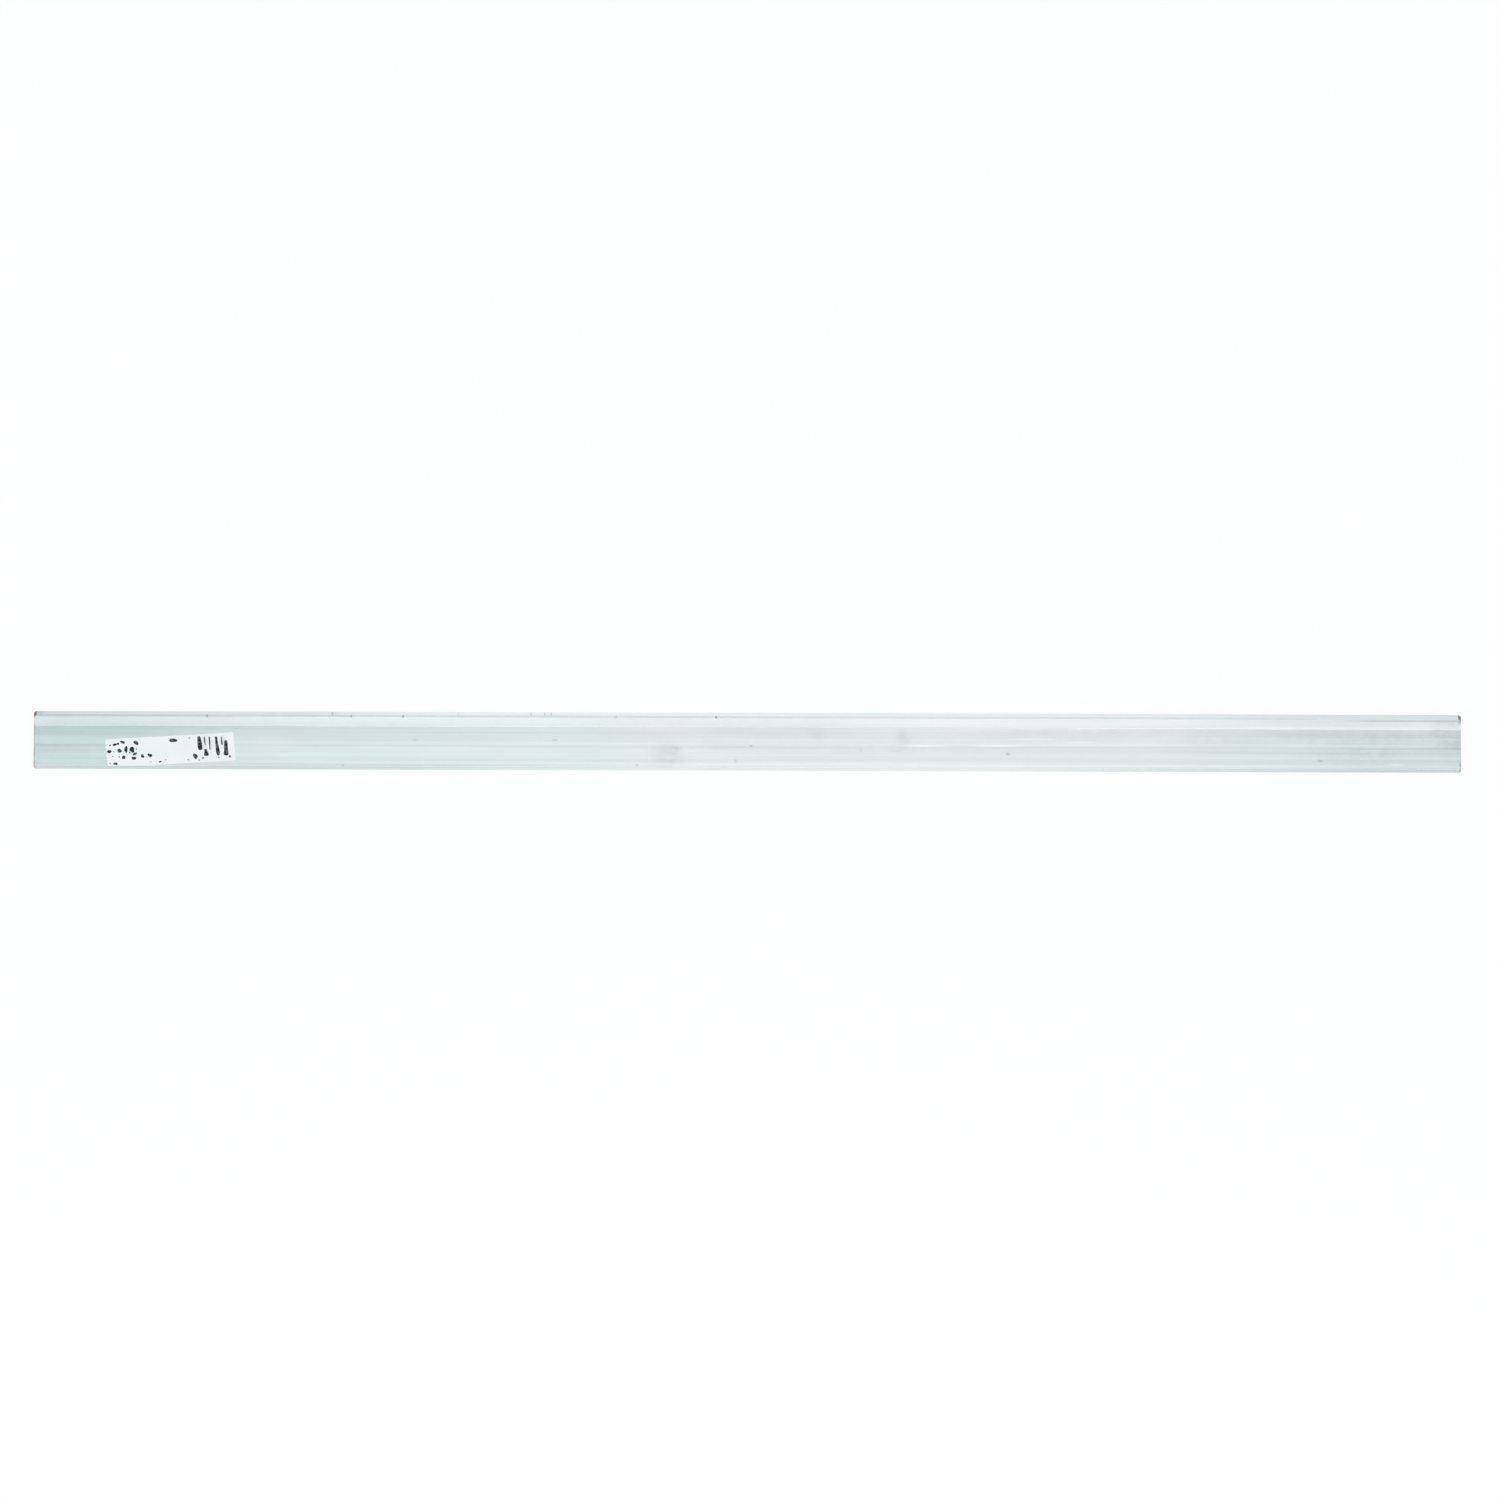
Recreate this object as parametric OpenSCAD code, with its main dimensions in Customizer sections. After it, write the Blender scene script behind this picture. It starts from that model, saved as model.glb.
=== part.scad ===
// Length of extruded aluminium angle with unequal legs, sawn at both ends, with a paper stock label.
// The long leg lies flat and the short leg stands up along its back edge.
// X runs along the length, Y from the front tip to the back face, Z up.
// The origin is under the middle of the long leg, at half the length.

/* [Section] */
// Length of the piece, from sawn end to sawn end
stock_length = 1000; // [300:10:3000]
// Width of the leg that lies flat, over the back face
base_leg = 40; // [36:1:80]
// Height of the leg that stands up, over the underside
upright_leg = 15; // [12:1:60]
// Thickness of both legs
wall = 4; // [2.5:0.1:6]

/* [Edges] */
// Radius of the fillet in the inside corner
root_radius = 0.6; // [0.3:0.1:3]
// Radius on the inner edge of each leg's tip
toe_radius = 0.6; // [0.3:0.1:1.5]
// Radius on the outer edges: both tips and the heel where the legs meet
heel_radius = 0.4; // [0.2:0.1:0.8]
// Corner filed off the top of the upright leg at each sawn end
upright_clip = 2; // [0.5:0.1:4]
// Corner filed off the front of the flat leg at each sawn end
base_clip = 1.5; // [0.5:0.1:4]

/* [Label] */
// Length of the label
label_length = 90; // [40:1:140]
// Height of the label
label_height = 25; // [10:1:28]
// Thickness of the paper and its glue
label_thick = 0.15; // [0.1:0.01:0.3]
// Radius of the label's die-cut corners
label_corner = 1; // [0.5:0.1:3]
// Turn of the label as it was stuck on, in degrees
label_turn = 4.2; // [0:0.1:6]
// Distance from the left sawn end to the label
label_from_end = 50; // [10:1:150]
// Distance from the front face to the label's lowest corner, below zero where the corner passes the edge
label_from_edge = -1.8; // [-3:0.1:3]
// Distance from the front face at which such a corner is cut off, which may stand over the rounded edge
label_trim = 0.1; // [0:0.1:1]

/* [Hidden] */
$fn = 48;
// How far a cutting shape reaches past the face that it cuts
overcut = 1;
left_end = -stock_length / 2;
front = -base_leg / 2;
back = base_leg / 2;
// Half of the label's reach along the length and across the leg, as it is turned
label_half_x = label_length / 2 * cos(label_turn) + label_height / 2 * sin(label_turn);
label_half_y = label_length / 2 * sin(label_turn) + label_height / 2 * cos(label_turn);
label_x = left_end + label_from_end + label_half_x;
label_y = front + label_from_edge + label_half_y;

// What a rounded edge takes off a square corner at the origin, for material that lies towards +X and +Y.
module edge_round(radius) {
    difference() {
        translate([-overcut, -overcut]) square(radius + overcut);
        translate([radius, radius]) circle(radius);
    }
}

// Fillet that fills a square inside corner at the origin, towards +X and +Y.
module corner_fillet(radius) {
    difference() {
        square(radius);
        translate([radius, radius]) circle(radius);
    }
}

// Section across the length: the first axis is Y and the second is Z.
module section() {
    difference() {
        union() {
            translate([front, 0]) square([base_leg, wall]);
            translate([back - wall, 0]) square([wall, upright_leg]);
            translate([back - wall, wall]) mirror([1, 0]) corner_fillet(root_radius);
        }
        translate([front, 0]) edge_round(heel_radius);
        translate([front, wall]) mirror([0, 1]) edge_round(toe_radius);
        translate([back - wall, upright_leg]) mirror([0, 1]) edge_round(toe_radius);
        translate([back, upright_leg]) rotate(180) edge_round(heel_radius);
        translate([back, 0]) mirror([1, 0]) edge_round(heel_radius);
    }
}

// Rectangle of a length and a width, centred on the first axis, with its far corners cut off at 45 degrees.
module clipped_outline(length, width, clip) {
    polygon([
        [-length / 2, 0],
        [length / 2, 0],
        [length / 2, width - clip],
        [length / 2 - clip, width],
        [-length / 2 + clip, width],
        [-length / 2, width - clip],
    ]);
}

// The extrusion, limited in plan and in elevation by the outlines of its sawn and filed ends.
module angle_profile() {
    color([0.83, 0.87, 0.88]) intersection() {
        translate([left_end, 0, 0]) rotate([90, 0, 90]) linear_extrude(stock_length) section();
        translate([0, back, -overcut]) mirror([0, 1, 0])
            linear_extrude(upright_leg + 2 * overcut)
                clipped_outline(stock_length, base_leg, base_clip);
        translate([0, back + overcut, 0]) rotate([90, 0, 0])
            linear_extrude(base_leg + 2 * overcut)
                clipped_outline(stock_length, upright_leg, upright_clip);
    }
}

// Rectangle centred on the origin with round corners.
module rounded_rectangle(length, width, radius) {
    square([length - 2 * radius, width], center = true);
    square([length, width - 2 * radius], center = true);
    for (x = [-1, 1], y = [-1, 1])
        translate([x * (length / 2 - radius), y * (width / 2 - radius)]) circle(radius);
}

// Self-adhesive paper label on the flat leg's upper face, near the left end, kept clear of the front face.
module stock_label() {
    color("white")
        translate([0, 0, wall])
            linear_extrude(label_thick)
                intersection() {
                    translate([label_x, label_y])
                        rotate(label_turn)
                            rounded_rectangle(label_length, label_height, label_corner);
                    translate([left_end, front + label_trim]) square([stock_length, base_leg]);
                }
}

angle_profile();
stock_label();
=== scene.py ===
"""Length of mill-finish aluminium angle with a paper stock label, on a white floor under soft light."""

import math
import random

import bmesh
import bpy
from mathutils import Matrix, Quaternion, Vector


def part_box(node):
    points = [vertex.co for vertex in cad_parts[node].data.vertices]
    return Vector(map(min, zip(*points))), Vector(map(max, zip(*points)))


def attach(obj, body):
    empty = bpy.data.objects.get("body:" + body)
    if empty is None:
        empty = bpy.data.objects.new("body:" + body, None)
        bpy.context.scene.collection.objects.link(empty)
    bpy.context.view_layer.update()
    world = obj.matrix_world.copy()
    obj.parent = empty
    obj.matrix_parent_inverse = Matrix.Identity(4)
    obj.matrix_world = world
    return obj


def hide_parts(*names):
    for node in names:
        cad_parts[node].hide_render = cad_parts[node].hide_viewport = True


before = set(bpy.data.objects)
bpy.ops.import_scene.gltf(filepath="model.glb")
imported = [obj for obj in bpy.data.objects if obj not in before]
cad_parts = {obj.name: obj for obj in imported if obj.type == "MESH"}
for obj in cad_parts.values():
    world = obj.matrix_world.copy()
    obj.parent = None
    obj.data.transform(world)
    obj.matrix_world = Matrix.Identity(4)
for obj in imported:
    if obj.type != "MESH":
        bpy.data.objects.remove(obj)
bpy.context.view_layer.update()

MM = 0.001
RANDOM_SEED = 7
# Largest starting point of an uneven outline's waves, in radians
PHASE_RANGE = 6

# Section of the angle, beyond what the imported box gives
PROFILE_LOW, PROFILE_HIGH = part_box("angle_profile")
LEFT, RIGHT = PROFILE_LOW.x, PROFILE_HIGH.x
FRONT, BACK = PROFILE_LOW.y, PROFILE_HIGH.y
BOTTOM, TOP = PROFILE_LOW.z, PROFILE_HIGH.z
WALL = 4.0 * MM
# Face of the short leg that looks to the front
INNER = BACK - WALL
ROOT_RADIUS = 0.6 * MM
TOE_RADIUS = 0.6 * MM
HEEL_RADIUS = 0.4 * MM
ARC_STEPS = 8
# Angle in degrees above which an edge of the angle stays sharp
PROFILE_CREASE = 28

# Ends of the angle: filed corners and the deburred edge of the saw cut
UPRIGHT_CLIP = 2.0 * MM
BASE_CLIP = 1.5 * MM
DEBURR = 0.15 * MM
# Distance within which a filed corner's plane takes a point as lying on it
CUT_TOLERANCE = 1e-7

# Order of the angle's materials
MILL, SAWN, FILED = 0, 1, 2

# Die lines on the wide face: distance from the front, width, depth
MAIN_DIE_LINES = [
    (7.4 * MM, 0.8 * MM, 0.010 * MM),
    (14.1 * MM, 0.8 * MM, 0.012 * MM),
    (18.2 * MM, 1.6 * MM, 0.030 * MM),
    (22.4 * MM, 0.9 * MM, 0.014 * MM),
    (30.2 * MM, 0.8 * MM, 0.010 * MM),
]
# Shape of a die line: share of its width from its middle, share of its depth
DIE_LINE_SHAPE = ((-0.5, 0), (-0.25, 0.6), (0, 1), (0.25, 0.6), (0.5, 0))
FINE_LINE_SPACING = 1.6 * MM
FINE_LINE_WIDTH = (0.15 * MM, 0.40 * MM)
FINE_LINE_DEPTH = (0.0005 * MM, 0.0020 * MM)
# Distance to the first fine line, between two, and least distance from a main one, in spacings
FIRST_FINE_LINE = (0.4, 0.8)
FINE_LINE_GAP = (0.7, 1.4)
FINE_LINE_CLEARANCE = 0.7
# Distance from each end of a flat face to its first point, which keeps the shading flat
SUPPORT = 0.08 * MM

# Dents in the inner edge of the short leg's tip: place along the length, radius, depth
NICKS = [
    (-378.6 * MM, 1.3 * MM, 0.35 * MM),
    (-277.7 * MM, 1.2 * MM, 0.30 * MM),
    (-241.3 * MM, 1.3 * MM, 0.35 * MM),
    (-92.0 * MM, 1.0 * MM, 0.22 * MM),
    (-21.9 * MM, 1.3 * MM, 0.35 * MM),
]
# Cuts across the short leg's tip: place along the length, half width, depth
CUTS = [
    (-291.0 * MM, 0.8 * MM, 0.14 * MM),
    (-202.7 * MM, 0.6 * MM, 0.05 * MM),
    (-151.6 * MM, 0.7 * MM, 0.10 * MM),
    (-142.1 * MM, 0.6 * MM, 0.12 * MM),
    (-137.6 * MM, 0.6 * MM, 0.12 * MM),
]
NICK_STEPS = 6
# How far in from the tip's square corner a dent is centred
NICK_IN = 0.3 * TOE_RADIUS
# Dirt in a dent or a cut, for each metre of its depth
NICK_DIRT = 3.2 / MM
STATION_SPACING = 20 * MM
# Decimals of a metre to which two stations count as one
STATION_DIGITS = 6

# Label, as it was stuck on
LABEL_LOW, LABEL_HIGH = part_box("stock_label")
LABEL_LENGTH = 90 * MM
LABEL_HEIGHT = 25 * MM
LABEL_CORNER = 1.0 * MM
LABEL_TURN = math.radians(4.2)
TURN_SINE, TURN_COSINE = math.sin(LABEL_TURN), math.cos(LABEL_TURN)
# Half of the label's straight edges, and half of its reach across the leg, as it is turned
HALF_LONG_EDGE = LABEL_LENGTH / 2 - LABEL_CORNER
HALF_SHORT_EDGE = LABEL_HEIGHT / 2 - LABEL_CORNER
LABEL_REACH = HALF_LONG_EDGE * TURN_SINE + HALF_SHORT_EDGE * TURN_COSINE + LABEL_CORNER
LABEL_X = (LABEL_LOW.x + LABEL_HIGH.x) / 2
LABEL_Y = LABEL_HIGH.y - LABEL_REACH
LABEL_THICK = LABEL_HIGH.z - LABEL_LOW.z
# Steps of the label's mesh: along it, up it, over the front edge's bend and round a corner
LABEL_COLUMNS, LABEL_ROWS, LABEL_EDGE_ROWS = 120, 44, 6
LABEL_CORNER_STEPS = 6
# Angle in degrees above which an edge of the label stays sharp
LABEL_CREASE = 40

# Order of the label's materials
PAPER, INK = 0, 1

# Camera: the photograph's frame and where the object sits in it
FRAME_PIXELS = 1500
PIXEL = 0.7008 * MM
ELEVATION = math.radians(52)
ROLL = math.radians(0.168)
ORIGIN_IN_FRAME = (747.3, 748.5)
CAMERA_DISTANCE = 30.0
CLIP_DISTANCE = 120.0
SENSOR = 36.0


# Node helpers

# Sockets of a mix node: its factor, its two colours and the colour that it gives
MIX_FACTOR, MIX_FIRST, MIX_SECOND, MIX_RESULT = 0, 6, 7, 2


def new_material(name):
    """Makes an empty node material and returns it with its tree."""
    material = bpy.data.materials.new(name)
    material.use_nodes = True
    material.node_tree.nodes.clear()
    return material, material.node_tree


def add(tree, kind, inputs=(), **settings):
    """Adds a node, sets its properties and fills its inputs with values or sockets."""
    made = tree.nodes.new(kind)
    for name, value in settings.items():
        setattr(made, name, value)
    for key, value in dict(inputs).items():
        if isinstance(value, bpy.types.NodeSocket):
            tree.links.new(value, made.inputs[key])
        else:
            made.inputs[key].default_value = value
    return made


def calc(tree, operation, a, b=0.0):
    """A math node's result."""
    return add(tree, "ShaderNodeMath", {0: a, 1: b}, operation=operation).outputs[0]


def times(tree, a, b):
    """The product of two values."""
    return calc(tree, "MULTIPLY", a, b)


def most(tree, *values):
    """The largest of several values."""
    largest = values[0]
    for value in values[1:]:
        largest = calc(tree, "MAXIMUM", largest, value)
    return largest


def weighted(tree, pairs):
    """The sum of values times their weights."""
    total = 0.0
    for value, weight in pairs:
        total = calc(tree, "ADD", total, times(tree, value, weight))
    return total


def vector(tree, operation, a, b):
    """A vector math node's result."""
    return add(tree, "ShaderNodeVectorMath", {0: a, 1: b}, operation=operation).outputs[0]


def mix(tree, factor, a, b, blend="MIX"):
    """A colour between a and b."""
    inputs = {MIX_FACTOR: factor, MIX_FIRST: a, MIX_SECOND: b}
    made = add(tree, "ShaderNodeMix", inputs, data_type="RGBA", blend_type=blend)
    return made.outputs[MIX_RESULT]


def step(tree, value, start, end, low=0.0, high=1.0):
    """Goes smoothly from low at start to high at end."""
    inputs = {0: value, 1: start, 2: end, 3: low, 4: high}
    made = add(tree, "ShaderNodeMapRange", inputs, interpolation_type="SMOOTHSTEP", clamp=True)
    return made.outputs[0]


def along(tree, place, stretches, base=0.0):
    """A base value plus each stretch's amount, which grows from where it starts to where it is full."""
    total = base
    for start, full, amount in stretches:
        total = calc(tree, "ADD", total, step(tree, place, start, full, 0.0, amount))
    return total


def noise(tree, place, scale, seed, detail=2.0, roughness=0.5):
    """Noise with its own scale along each axis."""
    inputs = {"Vector": vector(tree, "MULTIPLY", place, scale), "W": seed, "Scale": 1.0,
              "Detail": detail, "Roughness": roughness}
    return add(tree, "ShaderNodeTexNoise", inputs, noise_dimensions="4D").outputs[0]


def object_place(tree):
    """The place on the object as a vector and as three numbers."""
    place = add(tree, "ShaderNodeTexCoord").outputs["Object"]
    split = add(tree, "ShaderNodeSeparateXYZ", {0: place})
    return place, split.outputs[0], split.outputs[1], split.outputs[2]


def wobbled(tree, place, scale, seed, reach):
    """The place pushed about by noise, for uneven outlines."""
    inputs = {"Vector": place, "W": seed, "Scale": scale, "Detail": 3.0}
    shake = add(tree, "ShaderNodeTexNoise", inputs, noise_dimensions="4D").outputs["Color"]
    centred = vector(tree, "SUBTRACT", shake, (0.5, 0.5, 0.5))
    shift = vector(tree, "MULTIPLY", centred, (reach, reach, reach))
    return vector(tree, "ADD", place, shift)


def spots(tree, place, marks):
    """Strongest of several soft spots, each with its middle, half sizes (millimetres) and strength."""
    strongest = 0.0
    for middle, halves, strength in marks:
        away = vector(tree, "SUBTRACT", place, [value * MM for value in middle])
        share = vector(tree, "DIVIDE", away, [value * MM for value in halves])
        length = add(tree, "ShaderNodeVectorMath", {0: share}, operation="LENGTH").outputs["Value"]
        strongest = most(tree, strongest, step(tree, length, 1.0, 0.0, 0.0, strength))
    return strongest


def attribute(tree, name):
    """A number that the mesh holds at each point."""
    return add(tree, "ShaderNodeAttribute", attribute_name=name).outputs["Fac"]


def output(tree, shader):
    """Connects a shader to the material's surface."""
    add(tree, "ShaderNodeOutputMaterial", {"Surface": shader.outputs[0]})


def surface(tree, inputs):
    """Gives the material a Principled surface with these inputs."""
    output(tree, add(tree, "ShaderNodeBsdfPrincipled", inputs))


def bumped(tree, strength, distance, height):
    """A normal bent by a height."""
    inputs = {"Strength": strength, "Distance": distance, "Height": height}
    return add(tree, "ShaderNodeBump", inputs).outputs[0]


# Metal

BRIGHT_METAL = (0.795, 0.805, 0.81, 1)
DULL_METAL = (0.705, 0.715, 0.72, 1)
# Lighter copy of the metal, for a painted highlight on the short leg's inner face, its tip and the
# front face
LIT_BRIGHT = (0.931, 0.945, 0.952, 1)
LIT_DULL = (0.882, 0.895, 0.902, 1)
FILM_TINT = (0.868, 0.975, 0.962, 1)
PATCH_TINT = (0.978, 1.0, 0.99, 1)
# Colour of the painted shade in the inside corner of the angle
CORNER_SHADE = (0.62, 0.64, 0.64, 1)
# Colour of dirt, and of the painted shade along the edges and by the ends
DIRT_AND_SHADE_COLOUR = (0.30, 0.33, 0.335, 1)
STAIN_COLOUR = (0.46, 0.49, 0.50, 1)
SCRATCH_COLOUR = (0.90, 0.92, 0.92, 1)
# Roughness of the dull and of the bright streaks, and what a full stain adds
MILL_ROUGHNESS = (0.44, 0.34)
STAIN_ROUGHNESS = 0.2
# Share of the short leg's inner face that a pale chalky film covers
INNER_FILM = 0.6
# Share of the hair-thin streaks among the streaks, and of the streaks in the metal's tone
FINE_SHARE = 0.45
LINES_SHARE = 0.7
# Noise values between which streaks and patches go from none to full
STREAK_RANGE = (0.3, 0.7)
GREEN_RANGE = (0.4, 0.65)
LINE_PATCH_RANGE = (0.38, 0.62)
STAIN_RANGE = (0.25, 0.6)
SAWN_EDGE_RANGE = (0.35, 0.6)
# Strength of a stain and of the sawn edge's dirt, where the noise is low and where it is high
STAIN_STRENGTH = (0.4, 1.0)
SAWN_EDGE_STRENGTH = (0.1, 0.5)
MILL_BUMP = 0.10
BUMP_HEIGHT = 0.05 * MM

# Noise of the metal, in waves a metre along each axis
FINE_STREAKS = (3, 2600, 2600)
BROAD_STREAKS = (2, 260, 260)
METAL_CLOUD = (14, 70, 70)
GREEN_PATCHES = (9, 30, 30)
LINE_PATCHES = (8, 300, 300)
SAWN_EDGE_PATCHES = (200, 200, 200)
CUT_PATCHES = (900, 900, 900)

# Share of the wide leg's film that the tip has
FILM_ON_TIP = 0.5
# Amounts along the length: where a stretch starts, where it is full (metres) and the amount
# A single number holds all along the length
FILM = [(-0.07, -0.12, 0.45), (-0.34, -0.47, 0.55), (0.25, 0.47, 0.35)]
# Painted shade in the inside corner, growing towards the left end
CORNER_SHADE_AMOUNT = [(-0.10, -0.47, 0.32)]
# Painted highlight on the tip, full from left of the middle to the right end
TIP_HIGHLIGHT = [(-0.34, -0.20, 0.32)]
# Painted shade along the tip's inner edge, more at the left end and less at the right, then below the
# edge at the right end; the tip's top darker at the right end
TIP_EDGE_SHADE = 0.24
TIP_EDGE_SHADE_ENDS = [(-0.34, -0.42, 0.20), (0.37, 0.42, -0.12)]
DROPPED_SHADE = [(0.40, 0.45, 0.42)]
TIP_TOP_DARKENING = [(0.36, 0.42, 0.09)]
# Painted shade along the front edge, which tones down its highlight, more towards the left end
FRONT_EDGE_SHADE = 0.16
FRONT_EDGE_SHADE_END = [(-0.30, -0.42, 0.08)]
LINE_DIRT = 0.14
LINE_DIRT_RIGHT = [(0.30, 0.42, 0.25)]
# The same by the distance from the middle of the length, or from the middle given
LINE_DIRT_ENDS = [(0.28, 0.46, 0.16)]
# Painted shade on the front face towards both ends
FRONT_FACE_SHADE = [(0.28, 0.45, 0.05)]
# Painted highlight on the front face, strongest about its middle
FRONT_HIGHLIGHT_MIDDLE = 0.05
FRONT_HIGHLIGHT = [(0.40, 0.08, 0.75)]

# How far in from its square corner a rounded edge's painted shade is centred, and how far it reaches
EDGE_IN = 0.2 * MM
TIP_SHADE_REACH = 1.15 * MM
FRONT_SHADE_REACH = 0.9 * MM
# Share of that reach within which the painted shade is full
EDGE_CORE = 0.3
# Distance below the top of the painted shade that drops below the tip's edge at the right end, and its
# reach
DROPPED_BY = 2.0 * MM
DROPPED_REACH = 1.6 * MM
# Distances from the left end at which the sawn edge's dirt starts and is full
SAWN_EDGE_START, SAWN_EDGE_FULL = 1.6 * MM, 0.4 * MM
# Places across the wide leg between which the painted shade by the corner fades in
CORNER_SHADE_FROM = (3.5 * MM, 8 * MM)
# Distances from a face between which its look gives way to that of the next face
FADE_NEAR, FADE_FAR = 0.1 * MM, 0.5 * MM
INNER_FADE_NEAR, INNER_FADE_FAR = 0.2 * MM, 0.6 * MM
TIP_FADE_NEAR, TIP_FADE_FAR = 0.2 * MM, 0.8 * MM

# Marks in millimetres: middle, half sizes along each axis, strength
STAINS = [
    ((-56, -8, 4), (22, 18, 2), 0.26),
    ((-51, -3, 4), (11, 5, 2), 0.44),
    ((-53, -14, 4), (4, 7, 2), 0.40),
    ((49, 10, 4), (12, 9, 2), 0.22),
    ((109, 5, 4), (9, 14, 2), 0.30),
    ((100, -5, 4), (18, 2, 2), 0.24),
    ((420, 8, 4), (90, 10, 2), 0.30),
    ((430, -8, 4), (70, 15, 2), 0.20),
    ((443, -6.5, 4), (14, 6, 2), 0.35),
    ((485, 11, 4), (14, 8, 2), 0.35),
    ((60, 0, 4), (230, 12, 2), 0.08),
    ((-30, 16, 9.5), (140, 3, 9), 0.12),
    ((400, 16, 9.5), (110, 3, 9), 0.12),
    ((498, 16, 9.5), (26, 3, 9), 0.20),
    ((-485, 16, 9.5), (80, 3, 9), 0.12),
    ((500, 0, 4), (40, 24, 2), 0.34),
    ((-480, -5, 4), (70, 11, 2), 0.22),
    ((368, 18, 15), (95, 5, 3), 0.16),
    ((-320, 18, 15), (75, 5, 3), 0.14),
    ((338, 4, 4), (65, 12, 2), 0.15),
    ((-15, 0, 4), (60, 10, 2), 0.13),
    ((215, 9, 4), (120, 8, 2), 0.13),
]
SPECKS = [
    ((-283.3, -19.2, 4), (2.0, 1.2, 1), 0.65),
    ((-232.9, 3.6, 4), (3.5, 0.9, 1), 0.40),
    ((-134.8, 3.9, 4), (3.0, 1.3, 1), 0.45),
    ((-77.3, -18.1, 4), (2.0, 1.4, 1), 0.60),
    ((-7.9, -14.3, 4), (1.6, 3.0, 1), 0.30),
    ((2.6, -0.9, 4), (2.0, 1.5, 1), 0.60),
    ((79.7, -4.2, 4), (1.0, 2.6, 1), 0.35),
    ((182.7, -7.3, 4), (2.2, 1.8, 1), 0.60),
    ((401.4, -12.7, 4), (3.5, 1.8, 1), 0.60),
    # Painted shade on the inner face by the right end's filed corner
    ((499.6, 16, 12.5), (3.0, 2.5, 5), 0.80),
    ((499.8, -16, 4), (1.8, 6.0, 2), 0.70),
    ((-499.8, -9, 4), (1.6, 2.0, 1), 0.70),
    ((-499.8, -17, 4), (1.8, 3.0, 2), 0.70),
    # This mark and the next two: painted shade at the ends of the short leg, by the left filed corner
    # and along the tip's inner edge
    ((-498, 18, 15), (9, 5, 3), 0.32),
    ((-500, 16, 13.8), (110, 1.5, 1.7), 0.24),
    ((495, 16, 11.6), (36, 1.5, 1.8), 0.20),
]
SCRATCHES = [
    ((123, -0.3, 4), (22, 1.2, 1), 0.85),
    ((175, -0.1, 4), (26, 1.2, 1), 0.80),
    ((198, 6.0, 4), (24, 1.1, 1), 0.60),
    ((233, 3.1, 4), (17, 1.1, 1), 0.60),
    ((455, -16, 4), (10, 1.1, 1), 0.60),
    ((250, -13, 4), (170, 7, 1), 0.14),
]


def extrusion_lines(tree, place):
    """Streaks along the length, from hair-thin to a few millimetres wide."""
    fine = noise(tree, place, FINE_STREAKS, seed=1.0, detail=3)
    broad = noise(tree, place, BROAD_STREAKS, seed=2.0)
    return weighted(tree, [(fine, FINE_SHARE), (broad, 1 - FINE_SHARE)])


def on_inner(tree, y, z):
    """1 on the short leg's inner face."""
    high = step(tree, z, WALL + FADE_NEAR, WALL + FADE_FAR)
    return times(tree, high, step(tree, y, INNER + INNER_FADE_FAR, INNER + INNER_FADE_NEAR))


def on_tip(tree, z):
    """1 on the short leg's tip."""
    return step(tree, z, TOP - TIP_FADE_FAR, TOP - TIP_FADE_NEAR)


def on_wide(tree, y, z):
    """1 on the wide leg, in front of the short one."""
    low = step(tree, z, WALL + FADE_FAR, WALL + FADE_NEAR)
    return times(tree, low, step(tree, y, INNER + FADE_FAR, INNER - FADE_FAR))


def on_front(tree, y):
    """1 on the front face."""
    return step(tree, y, FRONT + FADE_FAR, FRONT + FADE_NEAR)


def painted_highlight(tree, x, y, z):
    """Painted highlight, as a lighter copy of the metal: the short leg's inner face most, its tip and
    the front face less.
    """
    tip = on_tip(tree, z)
    inner = times(tree, on_inner(tree, y, z), calc(tree, "SUBTRACT", 1.0, tip))
    tip = times(tree, tip, along(tree, x, TIP_HIGHLIGHT))
    from_middle = calc(tree, "ABSOLUTE", calc(tree, "SUBTRACT", x, FRONT_HIGHLIGHT_MIDDLE))
    front = times(tree, on_front(tree, y), along(tree, from_middle, FRONT_HIGHLIGHT))
    return weighted(tree, [(inner, 1.0), (tip, 1.0), (front, 1.0)])


def film_and_corner_shade(tree, colour, x, y, z):
    """The colour under the film on the wide leg and tip: greener at the ends, with painted shade by the
    corner.
    """
    wide = on_wide(tree, y, z)
    covered = weighted(tree, [(wide, 1.0), (on_tip(tree, z), FILM_ON_TIP)])
    greener = times(tree, along(tree, x, FILM), covered)
    colour = mix(tree, greener, colour, FILM_TINT, "MULTIPLY")
    by_corner = times(tree, wide, step(tree, y, *CORNER_SHADE_FROM))
    painted_corner_shade = times(tree, by_corner, along(tree, x, CORNER_SHADE_AMOUNT))
    return mix(tree, painted_corner_shade, colour, CORNER_SHADE, "MULTIPLY")


def mill_colour(tree, place, x, y, z, tone):
    """Colour of the metal under its stains and dirt: streaks, a painted highlight on the inner face,
    tip and front face, green patches, film and painted shade by the corner.
    """
    share = step(tree, tone, *STREAK_RANGE)
    dull = mix(tree, share, DULL_METAL, BRIGHT_METAL)
    lit = mix(tree, share, LIT_DULL, LIT_BRIGHT)
    colour = mix(tree, painted_highlight(tree, x, y, z), dull, lit)
    patch = step(tree, noise(tree, place, GREEN_PATCHES, seed=12.0), *GREEN_RANGE)
    green = times(tree, patch, step(tree, z, WALL + FADE_FAR, WALL))
    colour = mix(tree, green, colour, PATCH_TINT, "MULTIPLY")
    return film_and_corner_shade(tree, colour, x, y, z)


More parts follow.
